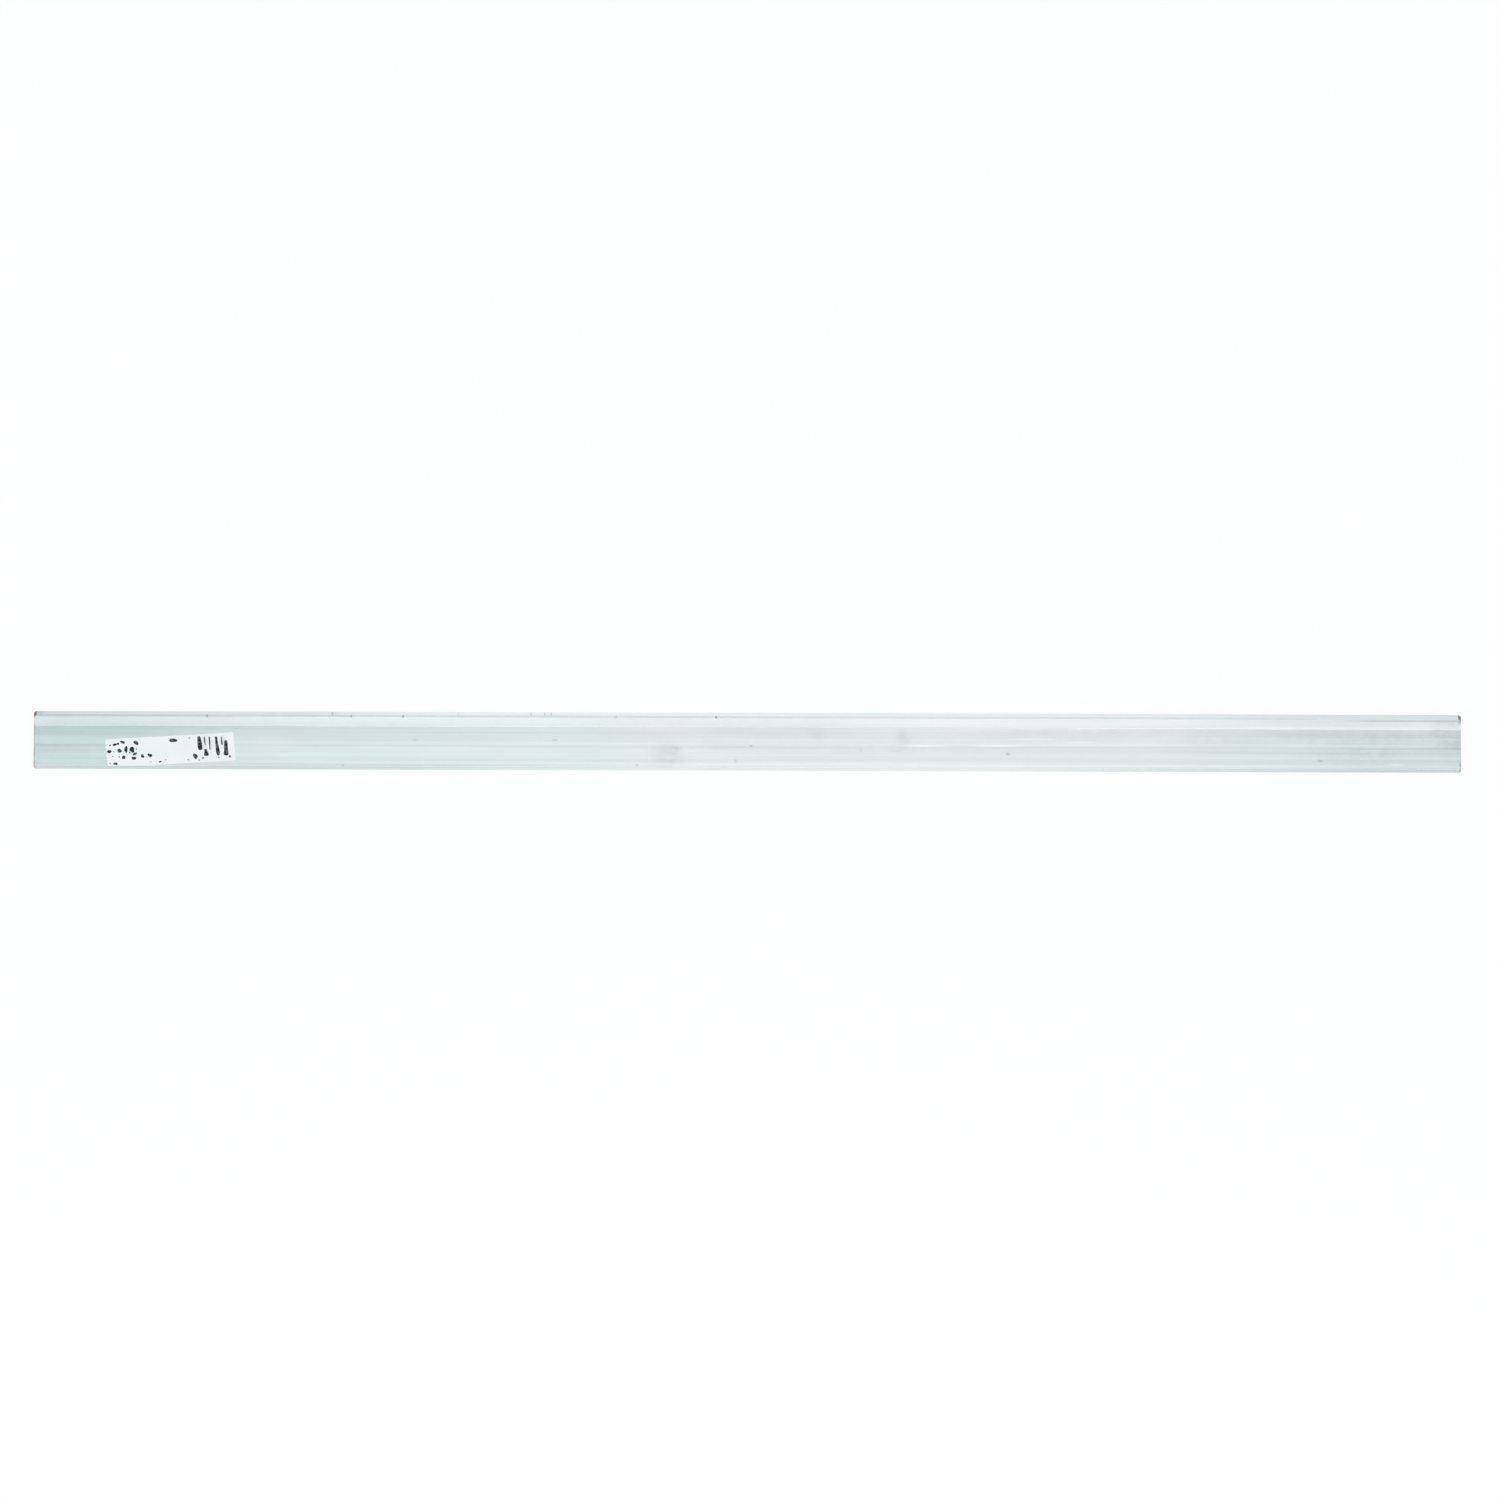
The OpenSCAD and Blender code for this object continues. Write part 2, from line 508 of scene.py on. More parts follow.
def along_edge(tree, y, z, edge_y, edge_z, reach):
    """1 at an edge that runs along the length, falling to 0 at a distance from it."""
    from_y = calc(tree, "SUBTRACT", y, edge_y)
    from_z = calc(tree, "SUBTRACT", z, edge_z)
    square = calc(tree, "ADD", times(tree, from_y, from_y), times(tree, from_z, from_z))
    return step(tree, calc(tree, "DIVIDE", calc(tree, "SQRT", square), reach), 1.0, EDGE_CORE)


def tip_painted_shade(tree, x, y, z):
    """Painted shade along the inner edge of the short leg's tip, which drops below the edge at the
    right end, and a darker top of the tip at the right end.
    """
    edge = along_edge(tree, y, z, INNER + EDGE_IN, TOP - EDGE_IN, TIP_SHADE_REACH)
    edge = times(tree, edge, along(tree, x, TIP_EDGE_SHADE_ENDS, base=TIP_EDGE_SHADE))
    below = along_edge(tree, y, z, INNER + EDGE_IN, TOP - DROPPED_BY, DROPPED_REACH)
    below = times(tree, below, along(tree, x, DROPPED_SHADE))
    top = step(tree, z, TOP - FADE_FAR, TOP - FADE_NEAR)
    top = times(tree, top, along(tree, x, TIP_TOP_DARKENING))
    return most(tree, edge, below, top)


def front_painted_shade(tree, x, y, z):
    """Painted shade along the front edge, which tones down its highlight, and a little on the front
    face towards both ends.
    """
    edge = along_edge(tree, y, z, FRONT + EDGE_IN, WALL - EDGE_IN, FRONT_SHADE_REACH)
    edge = times(tree, edge, along(tree, x, FRONT_EDGE_SHADE_END, base=FRONT_EDGE_SHADE))
    face = along(tree, calc(tree, "ABSOLUTE", x), FRONT_FACE_SHADE)
    face = times(tree, on_front(tree, y), face)
    return calc(tree, "ADD", edge, face)


def sawn_edge_dirt(tree, place, x):
    """Patchy dirt along the left sawn edge."""
    patches = noise(tree, place, SAWN_EDGE_PATCHES, seed=9.0)
    patchy = step(tree, patches, *SAWN_EDGE_RANGE, *SAWN_EDGE_STRENGTH)
    return times(tree, step(tree, x, LEFT + SAWN_EDGE_START, LEFT + SAWN_EDGE_FULL), patchy)


def line_dirt(tree, place, x):
    """Patchy dirt in the die lines, more of it at the ends and most at the right one."""
    patchy = step(tree, noise(tree, place, LINE_PATCHES, seed=4.0), *LINE_PATCH_RANGE)
    amount = along(tree, calc(tree, "ABSOLUTE", x), LINE_DIRT_ENDS, base=LINE_DIRT)
    amount = along(tree, x, LINE_DIRT_RIGHT, base=amount)
    return times(tree, attribute(tree, "groove"), times(tree, patchy, amount))


def dirt_and_painted_shade(tree, place, x, y, z):
    """All the dirt and painted shade on the metal: painted shade along the tip's inner edge and the
    front edge, dirt in lines and dents, along the sawn edge and in specks, a few of which are painted
    shade.
    """
    tip = tip_painted_shade(tree, x, y, z)
    front = front_painted_shade(tree, x, y, z)
    sawn = sawn_edge_dirt(tree, place, x)
    lines = line_dirt(tree, place, x)
    uneven = wobbled(tree, place, scale=900.0, seed=11.0, reach=1.5 * MM)
    specks = spots(tree, uneven, SPECKS)
    return most(tree, lines, tip, sawn, front, specks, attribute(tree, "nick"))


def mill_aluminium():
    """Bare extruded aluminium: streaks along its length, a film, stains, dirt in lines and dents, a
    painted highlight and painted shade.
    """
    material, tree = new_material("mill_aluminium")
    place, x, y, z = object_place(tree)
    lines = extrusion_lines(tree, place)
    cloud = noise(tree, place, METAL_CLOUD, seed=3.0, detail=4, roughness=0.6)
    tone = weighted(tree, [(lines, LINES_SHARE), (cloud, 1 - LINES_SHARE)])
    colour = mill_colour(tree, place, x, y, z, tone)
    uneven = wobbled(tree, place, scale=120.0, seed=10.0, reach=8 * MM)
    cloudy = step(tree, cloud, *STAIN_RANGE, *STAIN_STRENGTH)
    stain = times(tree, spots(tree, uneven, STAINS), cloudy)
    colour = mix(tree, stain, colour, STAIN_COLOUR)
    colour = mix(tree, spots(tree, place, SCRATCHES), colour, SCRATCH_COLOUR)
    colour = mix(tree, dirt_and_painted_shade(tree, place, x, y, z), colour, DIRT_AND_SHADE_COLOUR)
    streaks = step(tree, lines, *STREAK_RANGE, *MILL_ROUGHNESS)
    roughness = weighted(tree, [(streaks, 1.0), (stain, STAIN_ROUGHNESS)])
    metallic = step(tree, on_inner(tree, y, z), 0.0, 1.0, 1.0, 1.0 - INNER_FILM)
    normal = bumped(tree, MILL_BUMP, BUMP_HEIGHT, lines)
    inputs = {"Base Color": colour, "Metallic": metallic, "Roughness": roughness, "Normal": normal}
    surface(tree, inputs)
    return material


SAWN_BRIGHT = (0.66, 0.69, 0.70, 1)
SAWN_DARK = (0.36, 0.39, 0.395, 1)
# Filed corners: colours painted dark, standing for the dark surroundings that the corners reflect
FILED_BRIGHT = (0.43, 0.455, 0.46, 1)
FILED_DARK = (0.15, 0.165, 0.17, 1)
# Roughness where the patches' noise is low and where it is high
CUT_ROUGHNESS = (0.35, 0.55)
CUT_BUMP = 0.3
# Share of the blade's arcs in a cut's tone, and the tones between which it goes from dark to bright
ARCS_SHARE = 0.45
CUT_RANGE = (0.25, 0.75)
# Middle of the saw blade whose arcs the cut shows, and how close the arcs are
BLADE_MIDDLE = (0, -180 * MM, -72 * MM)
BLADE_ARCS = 420.0


def cut_aluminium(name, bright, dark):
    """Cut aluminium: shallow arcs left by the blade, with dull patches."""
    material, tree = new_material(name)
    place = object_place(tree)[0]
    from_blade = vector(tree, "SUBTRACT", place, BLADE_MIDDLE)
    inputs = {"Vector": from_blade, "Scale": BLADE_ARCS, "Distortion": 1.5, "Detail": 2.0}
    arcs = add(tree, "ShaderNodeTexWave", inputs, wave_type="RINGS", rings_direction="X").outputs[1]
    patches = noise(tree, place, CUT_PATCHES, seed=5.0, detail=3)
    tone = weighted(tree, [(arcs, ARCS_SHARE), (patches, 1 - ARCS_SHARE)])
    colour = mix(tree, step(tree, tone, *CUT_RANGE), dark, bright)
    roughness = step(tree, patches, *STREAK_RANGE, *CUT_ROUGHNESS)
    normal = bumped(tree, CUT_BUMP, BUMP_HEIGHT, tone)
    surface(tree, {"Base Color": colour, "Metallic": 1.0, "Roughness": roughness, "Normal": normal})
    return material


# Paper, print and floor

PAPER_COLOUR = (0.875, 0.875, 0.91, 1)
PAPER_SHADE = (0.83, 0.83, 0.865, 1)
# Roughness where the fibre's noise is low and where it is high
PAPER_ROUGHNESS = (0.55, 0.7)
PAPER_BUMP = 0.15
PAPER_BUMP_HEIGHT = 0.03 * MM
# Noise of the paper, in waves a metre along each axis, and the fibre's share of its tone
FIBRE = (1500, 1500, 1500)
PAPER_CLOUD = (60, 60, 60)
FIBRE_SHARE = 0.5
# Noise values between which the fibre goes from smooth to rough, and the tone from shade to white
FIBRE_RANGE = (0.3, 0.7)
PAPER_RANGE = (0.35, 0.6)
FADED_COLOUR = (0.40, 0.48, 0.50, 1)
# Faded print between the bars, in millimetres: middle, half sizes along each axis, strength
FADED_PRINT = [
    ((-380.0, 0.5, 4.15), (3.6, 9.0, 2), 0.45),
    ((-375.5, -1.0, 4.15), (3.0, 8.0, 2), 0.35),
    ((-367.5, 2.0, 4.15), (3.8, 8.0, 2), 0.40),
]


def label_paper():
    """Matt white label paper with a faint fibre and traces of faded print."""
    material, tree = new_material("label_paper")
    place = object_place(tree)[0]
    fibre = noise(tree, place, FIBRE, seed=6.0, detail=4, roughness=0.6)
    cloud = noise(tree, place, PAPER_CLOUD, seed=7.0)
    tone = weighted(tree, [(fibre, FIBRE_SHARE), (cloud, 1 - FIBRE_SHARE)])
    colour = mix(tree, step(tree, tone, *PAPER_RANGE), PAPER_SHADE, PAPER_COLOUR)
    uneven = wobbled(tree, place, scale=300.0, seed=13.0, reach=3 * MM)
    colour = mix(tree, spots(tree, uneven, FADED_PRINT), colour, FADED_COLOUR)
    roughness = step(tree, fibre, *FIBRE_RANGE, *PAPER_ROUGHNESS)
    normal = bumped(tree, PAPER_BUMP, PAPER_BUMP_HEIGHT, fibre)
    surface(tree, {"Base Color": colour, "Roughness": roughness, "Normal": normal})
    return material


INK_COLOUR = (0.012, 0.014, 0.018, 1)
WORN_INK = (0.15, 0.19, 0.20, 1)
# Roughness of full and of worn ink
INK_ROUGHNESS = (0.6, 0.8)
INK_SHINE = 0.15
# Noise of the wear, in waves a metre along each axis, and the values between which the ink thins
INK_WEAR = (500, 500, 500)
WEAR_RANGE = (0.45, 0.68)


def label_ink():
    """Black thermal print, thin in places."""
    material, tree = new_material("label_ink")
    place = object_place(tree)[0]
    worn = step(tree, noise(tree, place, INK_WEAR, seed=8.0, detail=3), *WEAR_RANGE)
    colour = mix(tree, worn, INK_COLOUR, WORN_INK)
    roughness = step(tree, worn, 0.0, 1.0, *INK_ROUGHNESS)
    surface(tree, {"Base Color": colour, "Roughness": roughness, "Specular IOR Level": INK_SHINE})
    return material


FLOOR_COLOUR = (0.95, 0.95, 0.95, 1)
# Share of plain white in what the eye and reflections see of the floor
FLOOR_GLOW = 0.9


def white_floor():
    """White floor that keeps a faint shadow: glowing to the eye and in mirrors, matt to other light."""
    material, tree = new_material("white_floor")
    path = add(tree, "ShaderNodeLightPath").outputs
    seen = most(tree, path["Is Camera Ray"], path["Is Glossy Ray"], path["Is Transmission Ray"])
    matt = add(tree, "ShaderNodeBsdfDiffuse", {"Color": FLOOR_COLOUR})
    white = add(tree, "ShaderNodeEmission", {"Color": (1, 1, 1, 1), "Strength": 1.0})
    inputs = {0: times(tree, seen, FLOOR_GLOW), 1: matt.outputs[0], 2: white.outputs[0]}
    output(tree, add(tree, "ShaderNodeMixShader", inputs))
    return material


# Profile

def dome(away):
    """Height of a smooth rise or dent: 1 at its middle, 0 from its rim on, at a distance of 1."""
    return (1 - away * away) ** 2 if away < 1 else 0.0


def arc(centre, radius, start, end):
    """Points of an arc, with its angles in degrees."""
    points = []
    for index in range(ARC_STEPS + 1):
        angle = math.radians(start + (end - start) * index / ARC_STEPS)
        points.append((centre[0] + radius * math.cos(angle), centre[1] + radius * math.sin(angle), 0.0))
    return points


def fine_lines(rng, length, taken):
    """Shallow die lines at uneven places along a face, clear of those already taken."""
    lines = []
    place = FINE_LINE_SPACING * rng.uniform(*FIRST_FINE_LINE)
    while place < length - FINE_LINE_SPACING / 2:
        if all(abs(place - line[0]) > FINE_LINE_SPACING * FINE_LINE_CLEARANCE for line in taken):
            lines.append((place, rng.uniform(*FINE_LINE_WIDTH), rng.uniform(*FINE_LINE_DEPTH)))
        place += FINE_LINE_SPACING * rng.uniform(*FINE_LINE_GAP)
    return lines


def flat(start, end, inward, lines):
    """Points between the ends of a flat face, with a shallow groove at each die line."""
    length = math.dist(start, end)
    ahead = ((end[0] - start[0]) / length, (end[1] - start[1]) / length)
    deepest = max(line[2] for line in MAIN_DIE_LINES)
    places = [(SUPPORT, 0.0), (length - SUPPORT, 0.0)]
    for middle, width, depth in lines:
        for share, fall in DIE_LINE_SHAPE:
            places.append((middle + share * width, fall * depth))
    points = []
    for distance, depth in sorted(places):
        points.append((
            start[0] + ahead[0] * distance + inward[0] * depth,
            start[1] + ahead[1] * distance + inward[1] * depth,
            depth / deepest,
        ))
    return points


def section():
    """Outline as (y, z, groove) points, once round the section from the underside's front corner."""
    rng = random.Random(RANDOM_SEED)
    heel, toe, root = HEEL_RADIUS, TOE_RADIUS, ROOT_RADIUS
    floor_z = BOTTOM + WALL
    main_lines = [(place - toe, width, depth) for place, width, depth in MAIN_DIE_LINES]
    runs = [
        ("arc", (FRONT + heel, BOTTOM + heel), heel, 270, 180),
        ("flat", (1, 0), []),
        ("arc", (FRONT + toe, floor_z - toe), toe, 180, 90),
        ("flat", (0, -1), main_lines),
        ("arc", (INNER - root, floor_z + root), root, 270, 360),
        ("flat", (1, 0), []),
        ("arc", (INNER + toe, TOP - toe), toe, 180, 90),
        ("flat", (0, -1), []),
        ("arc", (BACK - heel, TOP - heel), heel, 90, 0),
        ("flat", (-1, 0), []),
        ("arc", (BACK - heel, BOTTOM + heel), heel, 0, -90),
        ("flat", (0, 1), []),
    ]
    arcs = [arc(*run[1:]) if run[0] == "arc" else None for run in runs]
    points = []
    for index, run in enumerate(runs):
        if run[0] == "arc":
            points += arcs[index]
            continue
        start = arcs[index - 1][-1][:2]
        end = arcs[(index + 1) % len(runs)][0][:2]
        lines = run[2] + fine_lines(rng, math.dist(start, end), run[2])
        points += flat(start, end, run[1], lines)
    return points


def inset(points, distance):
    """The section moved inwards, for the deburred edge of a saw cut."""
    moved = []
    for index, (y, z, groove) in enumerate(points):
        before = points[index - 1]
        after = points[(index + 1) % len(points)]
        ahead = Vector((after[0] - before[0], after[1] - before[1])).normalized()
        moved.append((y + ahead.y * distance, z - ahead.x * distance, groove))
    return moved


def stations():
    """Places along the length at which the section stands, closer together at the dents and cuts."""
    places = {LEFT + DEBURR, RIGHT - DEBURR}
    count = round((RIGHT - LEFT) / STATION_SPACING)
    places.update(LEFT + (RIGHT - LEFT) * index / count for index in range(1, count))
    for place, half, _ in NICKS + CUTS:
        places.update(place + half * index / NICK_STEPS for index in range(-NICK_STEPS, NICK_STEPS + 1))
    return sorted({round(place, STATION_DIGITS) for place in places})


def nick_depth(x, y, z):
    """How far a dent or a cut presses a point of the short leg's tip down."""
    depth = 0.0
    for place, radius, deepest in NICKS:
        away = math.hypot(x - place, y - INNER - NICK_IN, z - TOP + NICK_IN) / radius
        depth = max(depth, deepest * dome(away))
    for place, half, deepest in CUTS:
        if z > TOP - TOE_RADIUS:
            depth = max(depth, deepest * dome(abs(x - place) / half))
    return depth


def sweep(bm, outline):
    """Joins the section from station to station and closes both ends."""
    groove_layer = bm.verts.layers.float.new("groove")
    nick_layer = bm.verts.layers.float.new("nick")
    cut = inset(outline, DEBURR)
    rings = []
    for x, points in [(LEFT, cut), *[(place, outline) for place in stations()], (RIGHT, cut)]:
        ring = []
        for y, z, groove in points:
            depth = nick_depth(x, y, z)
            vert = bm.verts.new((x, y, z - depth))
            vert[groove_layer] = groove
            vert[nick_layer] = NICK_DIRT * depth
            ring.append(vert)
        rings.append(ring)
    count = len(outline)
    for left_ring, right_ring in zip(rings, rings[1:]):
        for index in range(count):
            after = (index + 1) % count
            corners = (left_ring[index], left_ring[after], right_ring[after], right_ring[index])
            bm.faces.new(corners).material_index = MILL
    for ring in (rings[0], rings[-1]):
        bm.faces.new(ring).material_index = SAWN


def file_corner(bm, point, normal, material_index):
    """Cuts a corner off with a plane and closes the cut with a face of one material."""
    geometry = bm.verts[:] + bm.edges[:] + bm.faces[:]
    bmesh.ops.bisect_plane(
        bm, geom=geometry, dist=CUT_TOLERANCE, plane_co=point, plane_no=normal, clear_outer=True)
    rim = [edge for edge in bm.edges if edge.is_boundary]
    for face in bmesh.ops.holes_fill(bm, edges=rim, sides=0)["faces"]:
        face.material_index = material_index


def finish_piece(bm, name, node, materials, crease):
    """Turns a mesh into a piece that stands for a node of the part, with edges sharp above an angle."""
    bmesh.ops.recalc_face_normals(bm, faces=bm.faces)
    for face in bm.faces:
        face.smooth = True
    for edge in bm.edges:
        if edge.is_manifold and edge.calc_face_angle() > math.radians(crease):
            edge.smooth = False
    mesh = bpy.data.meshes.new(name)
    bm.to_mesh(mesh)
    bm.free()
    for material in materials:
        mesh.materials.append(material)
    piece = bpy.data.objects.new(name, mesh)
    bpy.context.scene.collection.objects.link(piece)
    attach(piece, "root")
    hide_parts(node)


def profile():
    """The extrusion: its section swept along the length, with sawn ends and filed corners."""
    bm = bmesh.new()
    sweep(bm, section())
    for side, end in ((-1, LEFT), (1, RIGHT)):
        file_corner(bm, (end, FRONT + BASE_CLIP, 0), (side, -1, 0), SAWN)
        file_corner(bm, (end, 0, TOP - UPRIGHT_CLIP), (side, 0, 1), FILED)
    materials = [
        mill_aluminium(),
        cut_aluminium("sawn_aluminium", SAWN_BRIGHT, SAWN_DARK),
        # Filed corners, with painted shade in their colours
        cut_aluminium("filed_aluminium_painted_shade", FILED_BRIGHT, FILED_DARK),
    ]
    finish_piece(bm, "extruded_angle", "angle_profile", materials, PROFILE_CREASE)


# Label

# Height of the loose upper right corner, and where it starts on the way there from the middle
LABEL_LIFT = 0.30 * MM
LIFT_FROM = 0.8
# Bubbles under the paper: middle along and up the label, radius, height
BUBBLES = [
    (-20 * MM, 3 * MM, 7 * MM, 0.05 * MM),
    (4 * MM, -4 * MM, 9 * MM, 0.07 * MM),
    (30 * MM, 6 * MM, 6 * MM, 0.04 * MM),
]
INK_THICK = 0.012 * MM
BLOB_STEPS = 12
# How far a blob leans, and how far its outline swells in two and in three places
BLOB_LEAN = 0.25
OVAL_SWELL = 0.11
LOBE_SWELL = 0.08
BAR_STEPS = 24
# Points across a bar, in half widths
BAR_POINTS = (-1, -0.5, 0, 0.5, 1)
# Width of a bar's very end, how square its ends are, and how far and how fast its width varies
BAR_END = 0.35
BAR_SQUARENESS = 12
BAR_UNEVEN = 0.10
BAR_WAVE = 7
# Generic print in millimetres on the label: middle along and up, width and height of each mark
BLOBS = [
    (-42, 7, 1.3, 1.4), (-38.6, 7.4, 3.0, 2.2), (-36.2, 8, 1.5, 2.2), (-33, 9.2, 3.0, 2.8),
    (-23.6, 8, 3.0, 4.0), (-42.8, 1.5, 3.0, 3.0), (-39.6, 1.2, 0.9, 1.0), (-35.6, 1.8, 2.9, 4.0),
    (-31, 2.7, 2.4, 5.6), (-26.8, 2.2, 3.2, 5.6), (-25, -1.7, 2.8, 2.6), (-33, -4.3, 2.3, 3.5),
    (-26, -5.5, 3.2, 2.9), (-19.8, -4.1, 2.6, 2.9), (-14.6, -3.7, 3.2, 3.0), (-39.1, -9.6, 3.0, 2.4),
    (-7.8, -9.9, 1.7, 1.6), (2.4, 8.4, 5.2, 3.6), (12, -9.6, 0.9, 1.1), (17.1, -6.8, 3.2, 4.8),
    (22.3, -8.8, 1.5, 1.4), (41.2, -8.6, 1.5, 2.0), (-40.6, -3.0, 0.9, 1.0), (-36.1, -3.8, 0.9, 1.2),
    (-28.5, -0.3, 1.0, 1.6), (-23.7, 2.5, 0.8, 1.3), (-3.8, -8.7, 0.8, 1.1), (-14.4, -9.7, 0.7, 0.8),
    (33.4, -9.1, 1.0, 1.2), (19.6, -10.3, 1.2, 0.9), (14.0, 9.7, 0.7, 1.2), (-42.8, -9.0, 0.9, 0.9),
]
# Smeared bars in millimetres on the label: start, end, width at each
BARS = [
    ((20.6, 10.8), (21.0, -1.6), 2.7, 3.2),
    ((24.6, -0.8), (25.0, -7.0), 1.8, 3.4),
    ((24.3, 10.4), (24.6, 2.6), 0.8, 0.7),
    ((27.9, 10.1), (27.7, -2.0), 1.0, 0.7),
    ((32.5, 9.9), (33.3, -7.2), 1.7, 2.6),
    ((36.2, 9.3), (36.5, 1.8), 0.8, 0.9),
    ((39.3, 6.2), (38.7, -7.6), 1.9, 3.6),
]


def label_rise(u, v):
    """How far the label's paper stands off the metal: a loose corner and shallow bubbles."""
    to_corner = u / LABEL_LENGTH + v / LABEL_HEIGHT
    loose = max(0.0, (to_corner - LIFT_FROM) / (1 - LIFT_FROM))
    rise = LABEL_LIFT * loose ** 2
    for middle_u, middle_v, radius, height in BUBBLES:
        rise += height * dome(math.hypot(u - middle_u, v - middle_v) / radius)
    return rise


def edge_droop(y):
    """How far the paper bends down with the rounded front edge."""
    past = min(max(0.0, FRONT + TOE_RADIUS - y), TOE_RADIUS)
    return TOE_RADIUS - math.sqrt(TOE_RADIUS ** 2 - past ** 2)


def on_label(u, v, above):
    """A point of the label in the object's frame, from its own axes and its height over the metal."""
    x = LABEL_X + u * TURN_COSINE - v * TURN_SINE
    y = LABEL_Y + u * TURN_SINE + v * TURN_COSINE
    return (x, y, LABEL_LOW.z + label_rise(u, v) - edge_droop(y) + above)


def label_half_height(u):
    """Half the label's height at a place along it, less its round corners."""
    into_corner = abs(u) - HALF_LONG_EDGE
    if into_corner <= 0:
        return LABEL_HEIGHT / 2
    return HALF_SHORT_EDGE + math.sqrt(max(0.0, LABEL_CORNER ** 2 - into_corner ** 2))


def label_lowest(u):
    """Lowest place up the label at a place along it: its own edge, or where the front edge cuts it."""
    at_front = (LABEL_LOW.y - LABEL_Y - u * TURN_SINE) / TURN_COSINE
    return max(-label_half_height(u), at_front)


def paper_grid():
    """Places over the label, closer together at its round corners and at the bend over the edge."""
    columns = [LABEL_LENGTH * (index / LABEL_COLUMNS - 0.5) for index in range(1, LABEL_COLUMNS)]
    for index in range(LABEL_CORNER_STEPS):
        angle = math.radians(90 * index / LABEL_CORNER_STEPS)
        place = LABEL_LENGTH / 2 - LABEL_CORNER * (1 - math.cos(angle))
        columns += [place, -place]
    grid = []
    for u in sorted(set(columns)):
        lowest, highest = label_lowest(u), label_half_height(u)
        line = [lowest + TOE_RADIUS * row / LABEL_EDGE_ROWS for row in range(LABEL_EDGE_ROWS)]
        above = lowest + TOE_RADIUS
        line += [above + (highest - above) * row / LABEL_ROWS for row in range(LABEL_ROWS + 1)]
        grid.append([(u, v) for v in line])
    return grid


def blob_grid(rng, middle_u, middle_v, width, height):
    """Places over a round, uneven ink mark."""
    lean = rng.uniform(-BLOB_LEAN, BLOB_LEAN)
    phase = rng.uniform(0, PHASE_RANGE)
    shares = [2 * index / BLOB_STEPS - 1 for index in range(BLOB_STEPS + 1)]
    grid = []
    for a in shares:
        line = []
        for b in shares:
            across = a * math.sqrt(1 - b * b / 2)
            up = b * math.sqrt(1 - a * a / 2)
            angle = math.atan2(up, across)
            oval = OVAL_SWELL * math.sin(2 * angle + phase)
            lobes = LOBE_SWELL * math.sin(3 * angle + 2 * phase)
            swell = 1 + oval + lobes
            u = middle_u + width / 2 * swell * (across + lean * up)
            v = middle_v + height / 2 * swell * up
            line.append((u * MM, v * MM))
        grid.append(line)
    return grid


def bar_grid(rng, start, end, start_width, end_width):
    """Places over an uneven bar with rounded ends that has its own width at each end."""
    phase = rng.uniform(0, PHASE_RANGE)
    run = Vector(end) - Vector(start)
    side = Vector((-run.y, run.x)).normalized()
    grid = []
    for index in range(BAR_STEPS + 1):
        share = index / BAR_STEPS
        rounding = max(BAR_END, math.sqrt(1 - (2 * share - 1) ** BAR_SQUARENESS))
        uneven = 1 + BAR_UNEVEN * math.sin(BAR_WAVE * share + phase)
        half = (start_width + (end_width - start_width) * share) / 2 * rounding * uneven
        middle = Vector(start) + run * share
        grid.append([tuple((middle + side * half * across) * MM) for across in BAR_POINTS])
    return grid


def sheet_side(bm, grid, above):
    """Points of one side of a sheet over a grid of places on the label, at a height over the metal."""
    return [[bm.verts.new(on_label(u, v, above)) for u, v in line] for line in grid]


def add_sheet(bm, grid, low, high, material_index):
    """A thin closed sheet over a grid of places on the label, between two heights."""
    under = sheet_side(bm, grid, low)
    over = sheet_side(bm, grid, high)
    last_line, last = len(grid) - 1, len(grid[0]) - 1
    faces = []
    for i in range(last_line):
        for j in range(last):
            faces.append((over[i][j], over[i + 1][j], over[i + 1][j + 1], over[i][j + 1]))
            faces.append((under[i][j + 1], under[i + 1][j + 1], under[i + 1][j], under[i][j]))
        for j in (0, last):
            faces.append((under[i][j], under[i + 1][j], over[i + 1][j], over[i][j]))
    for i in (0, last_line):
        for j in range(last):
            faces.append((under[i][j], under[i][j + 1], over[i][j + 1], over[i][j]))
    for corners in faces:
        bm.faces.new(corners).material_index = material_index


def paper_label():
    """The label: a paper sheet with round corners and thin printed marks on it."""
    rng = random.Random(RANDOM_SEED)
    bm = bmesh.new()
    add_sheet(bm, paper_grid(), 0.0, LABEL_THICK, PAPER)
    marks = [blob_grid(rng, *blob) for blob in BLOBS]
    marks += [bar_grid(rng, *bar) for bar in BARS]
    for grid in marks:
        add_sheet(bm, grid, LABEL_THICK - INK_THICK, LABEL_THICK + INK_THICK, INK)
    materials = [label_paper(), label_ink()]
    finish_piece(bm, "paper_label", "stock_label", materials, LABEL_CREASE)


# Floor, lights and camera

FLOOR_SIZE = 120.0


def floor():
    """A wide white floor under the object."""
    half = FLOOR_SIZE / 2
    signs = ((-1, -1), (1, -1), (1, 1), (-1, 1))
    mesh = bpy.data.meshes.new("floor")
    mesh.from_pydata([(half * a, half * b, BOTTOM) for a, b in signs], [], [(0, 1, 2, 3)])
    mesh.materials.append(white_floor())
    piece = bpy.data.objects.new("floor", mesh)
    bpy.context.scene.collection.objects.link(piece)


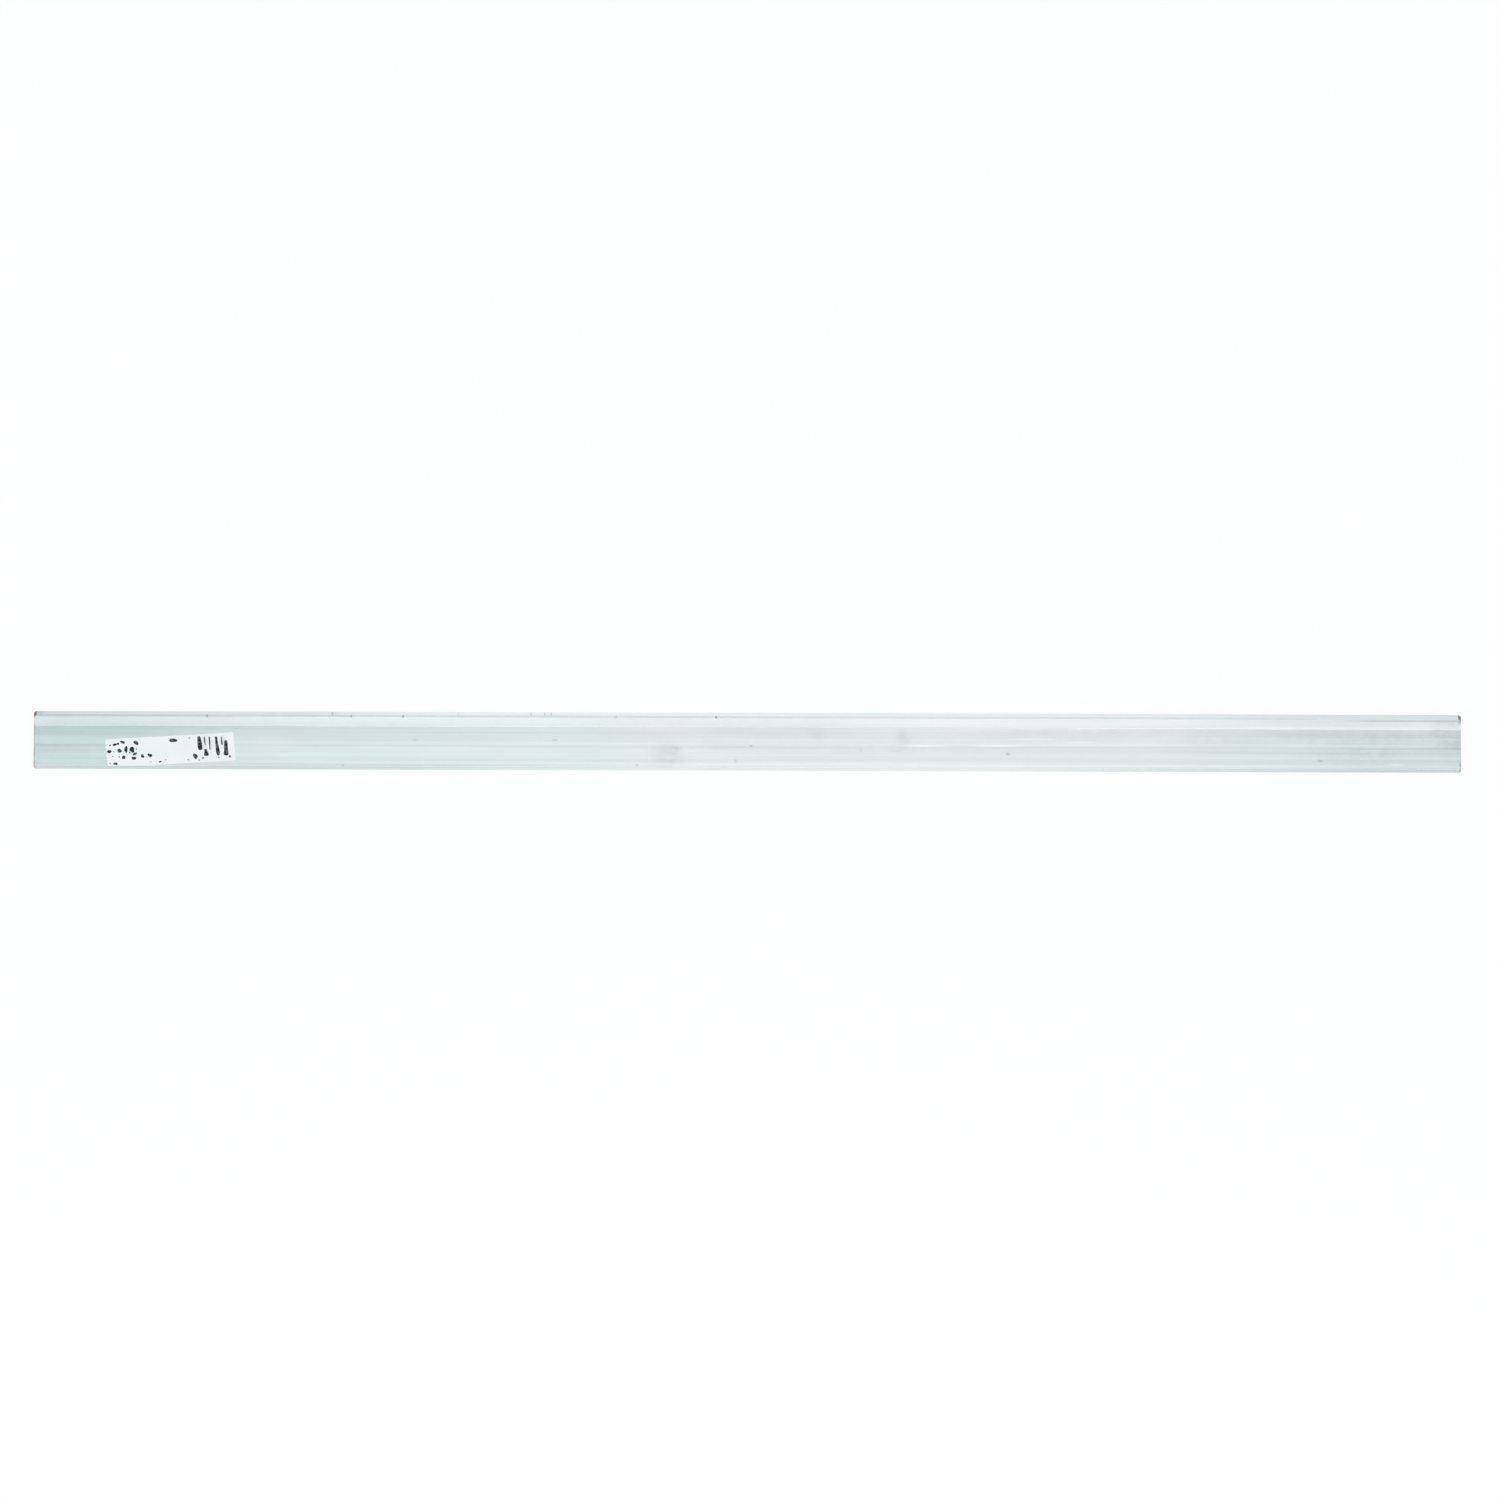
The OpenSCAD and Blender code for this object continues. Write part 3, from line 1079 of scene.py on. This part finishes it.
def softbox(name, location, target, size, radiance, colour):
    """A rectangular soft light of a given brightness and colour, turned to a target."""
    light = bpy.data.lights.new(name, "AREA")
    light.shape = "RECTANGLE"
    light.size, light.size_y = size
    light.energy = radiance * math.pi * size[0] * size[1]
    light.color = colour
    lamp = bpy.data.objects.new(name, light)
    lamp.location = location
    lamp.rotation_euler = (Vector(target) - Vector(location)).to_track_quat("-Z", "Y").to_euler()
    lamp.visible_camera = False
    bpy.context.scene.collection.objects.link(lamp)


HORIZON_COLOUR = (0.44, 0.45, 0.455, 1)
ZENITH_COLOUR = (0.755, 0.80, 0.815, 1)
# Height of a direction at which the room is as pale as overhead
ZENITH_FROM = 0.8
# Soft lights: place, target, size, brightness, colour
BACK_LIGHT = ((0.0, 0.96, 1.28), (0, 0, 0), (1.15, 0.9), 0.50, (0.95, 1.0, 1.01))
FRONT_LIGHT = ((-0.05, -1.32, 1.76), (-0.05, 0, 0), (2.8, 1.6), 1.45, (1.0, 1.0, 1.0))


def studio_world():
    """Soft room light, paler overhead than at the horizon."""
    world = bpy.data.worlds.new("studio")
    world.use_nodes = True
    tree = world.node_tree
    tree.nodes.clear()
    direction = add(tree, "ShaderNodeTexCoord").outputs["Generated"]
    up = add(tree, "ShaderNodeSeparateXYZ", {0: direction}).outputs[2]
    colour = mix(tree, step(tree, up, 0.0, ZENITH_FROM), HORIZON_COLOUR, ZENITH_COLOUR)
    background = add(tree, "ShaderNodeBackground", {"Color": colour, "Strength": 1.0})
    add(tree, "ShaderNodeOutputWorld", {"Surface": background.outputs[0]})
    bpy.context.scene.world = world


def lights():
    """A soft light behind and above, which the wide face mirrors, and one over the camera's side."""
    softbox("back_light", *BACK_LIGHT)
    softbox("front_light", *FRONT_LIGHT)


def camera():
    """A far camera in front and above, framed as the photograph is."""
    lens = bpy.data.cameras.new("camera")
    lens.sensor_width = SENSOR
    lens.lens = SENSOR * CAMERA_DISTANCE / (FRAME_PIXELS * PIXEL)
    lens.clip_end = CLIP_DISTANCE
    towards = Vector((0, -math.cos(ELEVATION), math.sin(ELEVATION)))
    right = Vector((1, 0, 0))
    up = towards.cross(right)
    middle = FRAME_PIXELS / 2
    aim = right * (middle - ORIGIN_IN_FRAME[0]) * PIXEL - up * (middle - ORIGIN_IN_FRAME[1]) * PIXEL
    eye = bpy.data.objects.new("camera", lens)
    eye.rotation_mode = "QUATERNION"
    eye.rotation_quaternion = (-towards).to_track_quat("-Z", "Y") @ Quaternion((0, 0, 1), ROLL)
    eye.location = aim + towards * CAMERA_DISTANCE
    bpy.context.scene.collection.objects.link(eye)
    bpy.context.scene.camera = eye


profile()
paper_label()
floor()
studio_world()
lights()
camera()
bpy.context.scene.view_settings.view_transform = "Standard"
